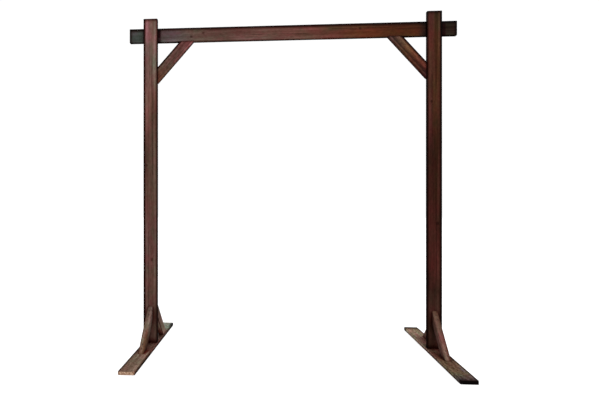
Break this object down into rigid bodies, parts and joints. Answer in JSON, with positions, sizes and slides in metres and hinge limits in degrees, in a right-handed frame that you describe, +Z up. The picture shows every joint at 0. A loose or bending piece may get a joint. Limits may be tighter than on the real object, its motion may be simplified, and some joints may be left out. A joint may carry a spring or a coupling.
{
  "type": "wooden wedding arch",
  "caption": "Freestanding square arch frame in dark stained timber: posts on flat strutted foot boards, a lapped cross beam with short overhangs, and diagonal knee braces.",
  "frame": {"origin": "on the ground, half way between the posts and half way along the foot boards", "axes": "+X along the beam to the right, +Y from the front of the arch to its back, +Z up"},
  "size_m": [2.407, 1.36, 2.463],
  "materials": {
    "post_wood": "dark walnut stain, satin, rubbed lighter on the arrises",
    "beam_wood": "dark red-brown stain, satin",
    "brace_wood": "dark red-brown stain, satin",
    "foot_wood": "thin weathered stain, dull, scuffed, bare at the cut ends",
    "strut_wood": "brown stain, satin, worn thin on the upper edges",
    "fasteners": "dark coated screws and bolts, dull"
  },
  "bodies": {
    "root": {"left_post": "post_wood", "right_post": "post_wood", "top_beam": "beam_wood", "left_knee_brace": "brace_wood", "right_knee_brace": "brace_wood", "left_foot_board": "foot_wood", "right_foot_board": "foot_wood", "left_front_strut": "strut_wood", "left_back_strut": "strut_wood", "right_front_strut": "strut_wood", "right_back_strut": "strut_wood"}
  },
  "joints": []
}
